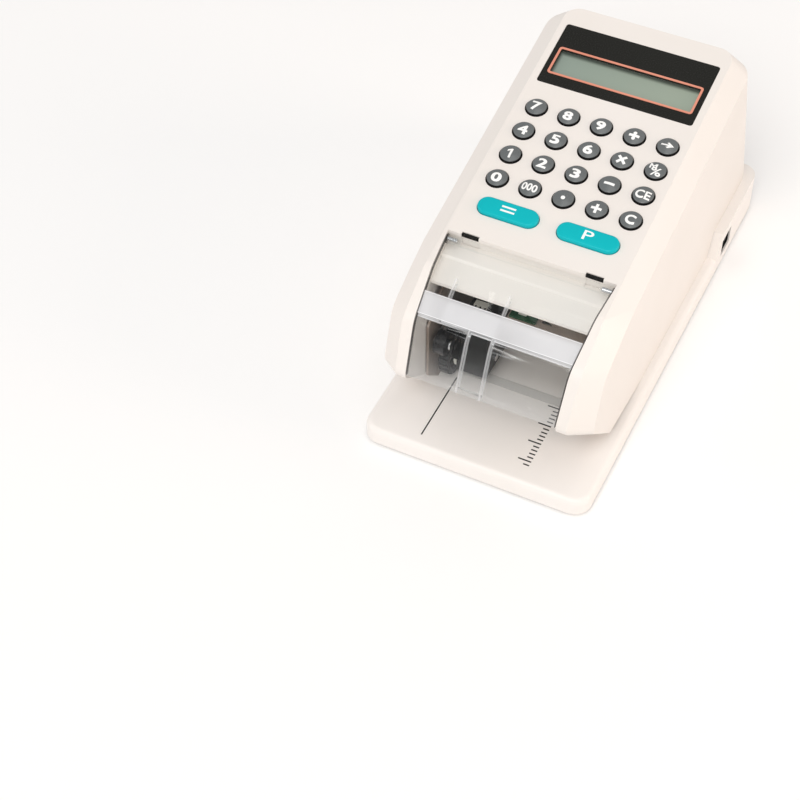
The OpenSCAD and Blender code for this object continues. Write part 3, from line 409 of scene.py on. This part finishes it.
# words, width, height, and the distance of their middle right of and above the key's middle
keyMarks = {
    "key_7": [("7", 5.0, 5.6, -0.1, -0.4)], "key_8": [("8", 5.0, 5.4, -0.2, -0.6)],
    "key_9": [("9", 5.0, 5.6, -0.2, -0.6)], "key_4": [("4", 5.2, 5.6, -0.1, -0.6)],
    "key_5": [("5", 4.8, 5.6, -0.2, -0.6)], "key_6": [("6", 5.0, 5.6, -0.2, -0.6)],
    "key_1": [("1", 2.6, 5.6, -0.4, -0.6)], "key_2": [("2", 5.0, 5.6, -0.2, -0.6)],
    "key_3": [("3", 4.9, 5.6, -0.2, -0.6)], "key_0": [("0", 5.4, 5.6, -0.2, -0.6)],
    "key_000": [("000", 8.0, 4.6, -0.1, -0.4)], "key_divide": [("÷", 5.4, 5.2, 0.1, -0.6)],
    "key_times": [("×", 5.2, 5.2, 0.0, -0.6)], "key_minus": [("−", 5.4, 1.4, 0.0, -0.5)],
    "key_plus": [("+", 5.4, 5.4, -0.1, -0.6)], "key_arrow": [("→", 6.6, 3.6, 0.0, -0.4)],
    "key_point": [("•", 2.2, 2.2, 0.0, -0.5)], "key_ce": [("CE", 7.8, 5.0, 0.0, -0.6)],
    "key_c": [("C", 5.2, 5.6, -0.1, -0.6)],
    "key_percent": [("M", 3.8, 3.2, -1.6, 1.4), ("%", 5.4, 4.8, 0.6, -1.6)],
}
# how far each mark's strokes are thickened
boldness = {"1": 0.0, "M": 0.0, "%": 0.12, "000": 0.16, "CE": 0.2, "→": 0.3, "=": 0.04, "P": 0.04}
# how the marks are drawn and laid: the font's size and steps, a slab's half height, the longest edge that may
# stay, how far the slab stands over its key and is sunk in it, and the usual thickening
markLook = dict(fontSize=6.0, extrude=0.5, curveSteps=4, longest=0.9, splits=4, proud=0.05, sunk=0.08,
                bold=0.24)


def keyCentre(column, row):
    # x and the distance up the slope of a round key's middle
    return (column - 2) * machine["pitchX"] + machine["columnShift"], row * machine["pitchY"]


def capHeight(rho):
    # the top falls from the middle as the square of the distance
    return keyCap["top"] - keyCap["crown"] * (rho / keyCap["radius"]) ** 2


def readValues(items, key, width=1, kind=float):
    # one value of every item as an array, with a row for each item where the value has several parts
    values = np.zeros(len(items) * width, kind)
    items.foreach_get(key, values)
    return values.reshape(-1, width) if width > 1 else values


def thickened(mesh, weight):
    # each outline point moves outwards along the sum of its side faces' normals, so that strokes grow bolder
    co = readValues(mesh.vertices, "co", 3)
    # the upper and the lower outline share their places on the plan
    _, place = np.unique(np.round(co[:, :2] * 2000).astype(int), axis=0, return_inverse=True)
    place = place.ravel()
    loopVertex = readValues(mesh.loops, "vertex_index", kind=int)
    corners = readValues(mesh.polygons, "loop_total", kind=int)
    loopNormal = np.repeat(readValues(mesh.polygons, "normal", 3), corners, axis=0)
    side = np.abs(loopNormal[:, 2]) < 0.5
    total = np.zeros((place.max() + 1, 2))
    np.add.at(total, place[loopVertex[side]], loopNormal[side, :2])
    out = total / np.maximum(np.linalg.norm(total, axis=1, keepdims=True), 1e-9)
    co[:, :2] += weight * out[place]
    return co


def finer(mesh):
    # splits every edge that is too long, so that flat letters can follow a crown
    work = bmesh.new()
    work.from_mesh(mesh)
    for _ in range(markLook["splits"]):
        bmesh.ops.triangulate(work, faces=work.faces)
        long = [e for e in work.edges if e.calc_length() > markLook["longest"]]
        if not long:
            break
        bmesh.ops.subdivide_edges(work, edges=long, cuts=1)
    bmesh.ops.triangulate(work, faces=work.faces)
    work.to_mesh(mesh)
    work.free()


# marks that the font draws too roughly, each an outline given point by point
drawnMarks = {
    "1": [(0.3, 0), (1.25, 0), (1.25, 5.6), (0.55, 5.6), (-0.95, 4.5), (-0.95, 3.45), (0.3, 4.3)],
    "M": [(0, 0), (1.05, 0), (1.05, 3.1), (2.5, 1.0), (3.95, 3.1), (3.95, 0), (5, 0), (5, 5), (4.0, 5),
          (2.5, 2.8), (1.0, 5), (0, 5)],
}


def drawnMesh(name, outline):
    # one outline given point by point, raised to a slab
    n = len(outline)
    mesh = bpy.data.meshes.new(name)
    points = [(x, y, z) for z in (-markLook["extrude"], markLook["extrude"]) for x, y in outline]
    sides = [(k, (k + 1) % n, n + (k + 1) % n, n + k) for k in range(n)]
    mesh.from_pydata(points, [], [tuple(range(n))[::-1], tuple(range(n, 2 * n))] + sides)
    mesh.update()
    return mesh


def fontMesh(name, words):
    # words in Blender's own font, raised to a slab and made a mesh
    curve = bpy.data.curves.new(name, "FONT")
    curve.body = words
    curve.size = markLook["fontSize"]
    curve.extrude = markLook["extrude"]
    curve.resolution_u = markLook["curveSteps"]
    holder = bpy.data.objects.new(name + "_text", curve)
    scene.collection.objects.link(holder)
    bpy.context.view_layer.update()
    mesh = bpy.data.meshes.new_from_object(holder.evaluated_get(bpy.context.evaluated_depsgraph_get()))
    bpy.data.objects.remove(holder)
    return mesh


def layMark(name, words, width, tall, centre, height, body):
    # letters drawn flat, thickened, scaled to their box and laid on a surface, which gives its height over the
    # panel
    mesh = drawnMesh(name, drawnMarks[words]) if words in drawnMarks else fontMesh(name, words)
    co = thickened(mesh, boldness.get(words, markLook["bold"]))
    low, high = co.min(0)[:2], co.max(0)[:2]
    co[:, :2] = (co[:, :2] - (low + high) / 2) * (width, tall) / (high - low)
    mesh.vertices.foreach_set("co", co.ravel())
    finer(mesh)
    place = readValues(mesh.vertices, "co", 3)
    place[:, :2] += centre
    rise = np.where(place[:, 2] > 0, markLook["proud"], -markLook["sunk"])
    place[:, 2] = height(place[:, 0], place[:, 1]) + rise
    mesh.vertices.foreach_set("co", onPanel(place).ravel())
    mesh.update()
    mesh.materials.clear()
    mesh.materials.append(printWhite)
    mesh.name = name
    addPiece(name, mesh, body)


def roundKey(name, column, row):
    # a profile of radius and height turned once about the key's axis, with a hollow underneath for its dome
    k = keyCap
    x, s = keyCentre(column, row)
    r, e, low = k["radius"], k["edge"], k["flangeZ"]
    bend = np.linspace(0, math.pi / 2, k["bendSteps"])
    start = capHeight(r) - e
    ceiling = low + k["hollowDepth"]
    under = [(k["eye"], ceiling), (k["hollow"], ceiling), (k["hollow"], low)]
    reach, step = r + k["flangeReach"], low + k["flange"]
    wall = [(reach, low), (reach, step), (r, step), (r, start)]
    corner = np.stack([r - e + e * np.cos(bend[1:]), start + e * np.sin(bend[1:])], -1)
    rho = np.linspace(r - e, k["eye"], k["bendSteps"])[1:]
    rim = corner[-1][1] - capHeight(r - e)
    face = np.stack([rho, capHeight(rho) + rim * (rho / (r - e)) ** 4], -1)
    profile = np.vstack([under, wall, corner, face])
    turn = np.linspace(0, 2 * math.pi, k["around"], endpoint=False)
    grid = stacked(x + profile[:, :1] * np.cos(turn), s + profile[:, :1] * np.sin(turn), profile[:, 1])
    faces = ringFaces(*grid.shape[:2])
    piece = newPiece(name + "_cap", onPanel(grid), faces, greyKey, name, name)
    piece.data.materials.append(keyShadeSkirt)
    skirt = np.ones(len(faces), int)  # 1 is the black skirt and the underside, 0 the grey top
    # faces from the flange up to a few steps of the edge take the black painted shade
    skirt[(len(under) + len(wall) - 1 + k["skirtSteps"]) * k["around"]:-1] = 0
    piece.data.polygons.foreach_set("material_index", skirt)
    piece.data.set_sharp_from_angle(angle=machine["sharpEdge"])
    for count, (words, width, tall, right, up) in enumerate(keyMarks[name]):
        layMark(f"{name}_legend_{count}", words, width, tall, (x + right, s + up),
                lambda a, b: capHeight(np.hypot(a - x, b - s)), name)


for keyName, keyColumn, keyRow in keyRows:
    roundKey(keyName, keyColumn, keyRow)

wideKey = dict(length=32.0, width=10.5, x=21.0, s=-17.8, top=2.3, edge=1.2, crown=0.12, flangeZ=-3.4,
               flange=1.0, reach=0.8, hollowInset=1.45, hollowDepth=2.0, bendSteps=9, topSteps=6,
               arcPoints=25, seam=0.1, markUp=0.3)


def stadiumGrid(profile, length, width, x, s, arcPoints):
    # each profile point is an inset and a height, and its ring is a stadium shrunk by that inset
    half = (length - width) / 2
    turn = np.linspace(-math.pi / 2, math.pi / 2, arcPoints)
    side = np.concatenate([np.full(arcPoints, half), np.full(arcPoints, -half)])
    angle = np.concatenate([turn, turn + math.pi])
    inset, height = np.asarray(profile, float).T
    radius = (width / 2 - inset)[:, None]
    return stacked(x + side + radius * np.cos(angle), s + radius * np.sin(angle), height)


def longKey(name, side, words, width, tall):
    # a stadium's profile of inset and height: hollow, flange, wall and rounded edge, then a top that falls
    # from the key's long middle line as the square of the distance
    k = wideKey
    low, edge, crown, half = k["flangeZ"], k["edge"], k["crown"], k["width"] / 2
    start = k["top"] - crown - edge

    def topHeight(fromMiddle):
        return k["top"] - crown * (fromMiddle / (half - edge)) ** 2

    profile = [(k["hollowInset"], low + k["hollowDepth"]), (k["hollowInset"], low), (-k["reach"], low),
               (-k["reach"], low + k["flange"]), (0, low + k["flange"]), (0, start)]
    profile += [(edge * (1 - math.cos(b)), start + edge * math.sin(b))
                for b in np.linspace(0, math.pi / 2, k["bendSteps"])[1:]]
    profile += [(t, topHeight(half - t)) for t in np.linspace(edge, half - k["seam"], k["topSteps"])[1:]]
    grid = stadiumGrid(profile, k["length"], k["width"], side * k["x"], k["s"], k["arcPoints"])
    faces = ringFaces(*grid.shape[:2])
    piece = newPiece(name + "_cap", onPanel(grid), faces, tealKey, name, name)
    piece.data.set_sharp_from_angle(angle=machine["sharpEdge"])
    layMark(name + "_legend", words, width, tall, (side * k["x"], k["s"] + k["markUp"]),
            lambda a, b: topHeight(b - k["s"]), name)


longKey("key_equals", -1, "=", 7.4, 3.5)
longKey("key_print", 1, "P", 5.2, 5.6)
print("keys made")


# behind each hinge slot the shelf and the riser close the housing, and a black block fills the slot in its
# edge as painted shade of the dark gap; each gives its front, its back, its lowest and its highest place
slotFill = dict(x=32.5, width=9.1, corner=0.12, ease=0.7, steps=5, shelf=(64.5, 67.05, 87.0, 88.9),
                riser=(67.2, 68.1, 88.0, 94.4), paintedShade=(65.6, 66.95, 94.7, 96.45))


def roundBlock(name, low, high, material):
    # a rectangle with rounded corners raised between two heights, its rims drawn in along a quarter circle
    low, high = np.asarray(low, float), np.asarray(high, float)
    middle, half = (low + high) / 2, (high - low) / 2
    corner, steps = slotFill["corner"], slotFill["steps"]
    ease = slotFill["ease"] * corner
    bend = np.linspace(0, math.pi / 2, steps)
    inset = np.concatenate([ease * (1 - np.sin(bend)), ease * (1 - np.cos(bend))])
    height = np.concatenate([low[2] + ease * (1 - np.cos(bend)), high[2] - ease * (1 - np.sin(bend))])
    angle = np.concatenate([bend + k * math.pi / 2 for k in range(4)])
    signX, signY = np.repeat([1, -1, -1, 1], steps), np.repeat([1, 1, -1, -1], steps)
    radius = (corner - inset)[:, None]
    grid = stacked(middle[0] + signX * (half[0] - corner) + radius * np.cos(angle),
                   middle[1] + signY * (half[1] - corner) + radius * np.sin(angle), height)
    piece = newPiece(name, onBase(grid), ringFaces(*grid.shape[:2]), material, "base")
    piece.data.set_sharp_from_angle(angle=machine["sharpEdge"])


for side, tag in ((-1, "left"), (1, "right")):
    for part, finish, slotName in (("shelf", creamAbs, "cream_abs"), ("riser", creamAbs, "cream_abs"),
                                   # the black block in each slot is painted shade of the gap
                                   ("paintedShade", printBlack, "dark_plastic")):
        front, back, low, high = slotFill[part]
        x = side * slotFill["x"]
        roundBlock(f"slot_{part}_{tag}", (x - slotFill["width"] / 2, front, low),
                   (x + slotFill["width"] / 2, back, high), finish)

# the wires start a pitch apart at the socket; a stop of their route is the shift from a wire's start to the
# right, what the shift gains with each next wire, then a depth and a height
headWires = dict(firstX=-25.6, pitch=1.25, count=5, radius=0.34, around=10, curveSteps=8,
                 route=((0, 0, 60.2, 56.9), (-0.2, 0, 57.5, 57.0), (0.6, -0.3, 53, 56.5),
                        (0.9, -0.6, 48.5, 56.4)))


def wire(name, points, material):
    # a circle carried along a smooth curve that passes through the given points
    p = np.asarray(points, float)
    p = np.vstack([2 * p[0] - p[1], p, 2 * p[-1] - p[-2]])
    t = np.linspace(0, 1, headWires["curveSteps"], endpoint=False)[:, None]
    path = [0.5 * (2 * b + (c - a) * t + (2 * a - 5 * b + 4 * c - d) * t ** 2
                   + (3 * b - a - 3 * c + d) * t ** 3)
            for a, b, c, d in zip(p, p[1:], p[2:], p[3:])]
    path = np.vstack(path + [p[-2][None]])
    along = np.gradient(path, axis=0)
    along /= np.linalg.norm(along, axis=1, keepdims=True)
    side = np.cross(along, (0.31, 0.17, 0.93))  # any direction that no wire runs along
    side /= np.linalg.norm(side, axis=1, keepdims=True)
    over = np.cross(along, side)
    turn = np.linspace(0, 2 * math.pi, headWires["around"], endpoint=False)[None, :, None]
    grid = path[:, None] + headWires["radius"] * (np.cos(turn) * side[:, None] + np.sin(turn) * over[:, None])
    faces = [f[::-1] for f in ringFaces(*grid.shape[:2])]
    newPiece(name, onBase(grid), faces, material, "carriage")


for count in range(headWires["count"]):
    x = headWires["firstX"] + count * headWires["pitch"]
    points = [(x + shift + gain * count, depth, high) for shift, gain, depth, high in headWires["route"]]
    finish, slotName = (naturalNylon, "white_plastic") if count % 2 else (printBlack, "dark_plastic")
    wire(f"head_wire_{count}", points, finish)
print("small pieces made")


# marks a tenth of an inch apart, the second and every fifth after it long, and the guide line at the left
ruler = dict(right=26.1, first=11.9, pitch=2.54, count=26, backmost=53, longEvery=5, longMark=7.0,
             shortMark=3.2, line=0.8, lift=0.03, sunk=0.05, guideX=-30.6, guideFrom=7.3, guideTo=50.0,
             guideLine=0.7)


def inkMarks(name, boxes):
    # a thin slab of ink for each mark, given by its left, right, front and back
    low, high = machine["bedHeight"] - ruler["sunk"], machine["bedHeight"] + ruler["lift"]
    b = np.asarray(boxes, float)
    corner = np.stack([b[:, [0, 1, 1, 0]], b[:, [2, 2, 3, 3]]], -1)
    flat = np.ones(corner.shape[:2] + (1,))
    both = np.stack([np.concatenate([corner, flat * z], -1) for z in (low, high)], 1)
    cube = np.array([[3, 2, 1, 0], [4, 5, 6, 7], [0, 1, 5, 4], [1, 2, 6, 5], [2, 3, 7, 6], [3, 0, 4, 7]])
    faces = (np.arange(len(b))[:, None, None] * 8 + cube).reshape(-1, 4)
    newPiece(name, onBase(both.reshape(-1, 3)), faces.tolist(), printBlack, "base",
             smooth=False)


tick = np.arange(ruler["count"])
markY = ruler["first"] + tick * ruler["pitch"]
markLength = np.where(tick % ruler["longEvery"] == 1, ruler["longMark"], ruler["shortMark"])
marks = np.stack([ruler["right"] - markLength, np.full(len(tick), ruler["right"]), markY - ruler["line"] / 2,
                  markY + ruler["line"] / 2], -1)
inkMarks("bed_ruler", marks[markY < ruler["backmost"]])
inkMarks("bed_guide", [[ruler["guideX"] - ruler["guideLine"] / 2, ruler["guideX"] + ruler["guideLine"] / 2,
                        ruler["guideFrom"], ruler["guideTo"]]])
print("bed printed")


# the finishes of the solids that show as they are
finishes = {
    "bottom_plate": litBaseAbs, "rubber_feet": footRubber, "case_screws": groundSteel, "hinge_pins": groundSteel,
    "display_panel": displayBlack, "display_frame": copperLine, "lcd_module": lcdFace,
    "key_mat": siliconeGrey, "keypad_board": boardGreen, "board_screws": groundSteel,
    "main_board": boardGreen, "board_parts": blackNylon, "link_board": boardGreen,
    "link_sockets": naturalNylon, "guide_rods": groundSteel, "carriage_socket": naturalNylon,
    "type_wheel": blackNylon, "type_gear": naturalNylon, "type_shaft": groundSteel,
    "type_motor": groundSteel, "motor_pinion": brassCut, "ink_roller": inkedRubber,
    "ink_spindle": groundSteel, "drive_belt": footRubber, "drive_motor": groundSteel,
    "drive_pulley": naturalNylon, "idler_pulley": naturalNylon, "platen_bar": paleRubber,
    "power_jack": blackNylon,
}
for nodeName, finish in finishes.items():
    for slot in nodes[nodeName].material_slots:
        slot.material = finish
print("solids dressed")


# metres here; each lamp is its name, place, target, width, power in watts and colour
studio = dict(floorSize=16.0, floorTone=0.97, world=0.51)
lamps = [
    ("key softbox", (0.2, -3.0, 3.3), (0, 0, 0.05), 2.4, 84.0, "#FFFCF8"),
    ("top softbox", (0.3, -0.3, 3.0), (0, 0, 0.05), 2.0, 12.5, "#FFFFFF"),
    ("left fill", (-2.4, -1.4, 1.5), (0, 0, 0.06), 1.6, 9.0, "#FFEFE8"),
    ("side fill", (1.6, 0.3, 0.5), (0, 0, 0.06), 0.9, 8.5, "#FFE6D2"),
]


def makeFloor():
    # matt painted board: white in the light, and it still takes the soft shadow
    mesh = bpy.data.meshes.new("floor")
    half = studio["floorSize"] / 2
    corners = [(-half, -half, 0), (half, -half, 0), (half, half, 0), (-half, half, 0)]
    mesh.from_pydata(corners, [], [(0, 1, 2, 3)])
    floor = bpy.data.objects.new("floor", mesh)
    scene.collection.objects.link(floor)
    material, tree, _ = newMaterial("matt white floor")
    matt = addNode(tree, "ShaderNodeBsdfDiffuse", {"Color": (studio["floorTone"],) * 3 + (1,)})
    finishMaterial(material, tree, matt.outputs["BSDF"])
    mesh.materials.append(material)


def areaLight(name, place, target, size, power, colour):
    light = bpy.data.lights.new(name, "AREA")
    light.shape = "DISK"
    light.size = size
    light.energy = power
    light.color = toLinear(colour)[:3]
    holder = bpy.data.objects.new(name, light)
    holder.location = place
    holder.rotation_euler = (Vector(target) - Vector(place)).to_track_quat("-Z", "Y").to_euler()
    scene.collection.objects.link(holder)


makeFloor()
world = bpy.data.worlds.new("studio")
scene.world = world
world.use_nodes = True
background = world.node_tree.nodes["Background"]
background.inputs["Color"].default_value = (1, 1, 1, 1)
background.inputs["Strength"].default_value = studio["world"]
for lamp in lamps:
    areaLight(*lamp)

# the photograph's camera: its place and its near and far limits in metres, its turn, dip and slight roll in
# radians, its focal length, middle and frame in pixels, and its sensor in mm
lens = dict(place=(0.2258, -0.6682, 0.7206), yaw=0.453, pitch=0.841, roll=-0.004, focalPx=1859.086,
            centreX=403.479, centreY=388.734, frame=800, sensor=36, near=0.02, far=20)


def makeCamera():
    # the level and rising directions of a camera that looks forward, turned by its roll
    yaw, pitch, roll = lens["yaw"], lens["pitch"], lens["roll"]
    forward = Vector((-math.sin(yaw) * math.cos(pitch), math.cos(yaw) * math.cos(pitch), -math.sin(pitch)))
    level = Vector((math.cos(yaw), math.sin(yaw), 0))
    rise = level.cross(forward)
    right = math.cos(roll) * level + math.sin(roll) * rise
    up = -math.sin(roll) * level + math.cos(roll) * rise
    data = bpy.data.cameras.new("camera")
    camera = bpy.data.objects.new("camera", data)
    scene.collection.objects.link(camera)
    turn = Matrix((right, up, -forward)).transposed().to_4x4()
    camera.matrix_world = Matrix.Translation(Vector(lens["place"])) @ turn
    data.sensor_width = lens["sensor"]
    data.lens = lens["focalPx"] / lens["frame"] * data.sensor_width
    data.shift_x = (lens["frame"] / 2 - lens["centreX"]) / lens["frame"]
    data.shift_y = (lens["centreY"] - lens["frame"] / 2) / lens["frame"]
    data.clip_start, data.clip_end = lens["near"], lens["far"]
    scene.camera = camera


makeCamera()
scene.view_settings.view_transform = "Standard"
print("stage set")
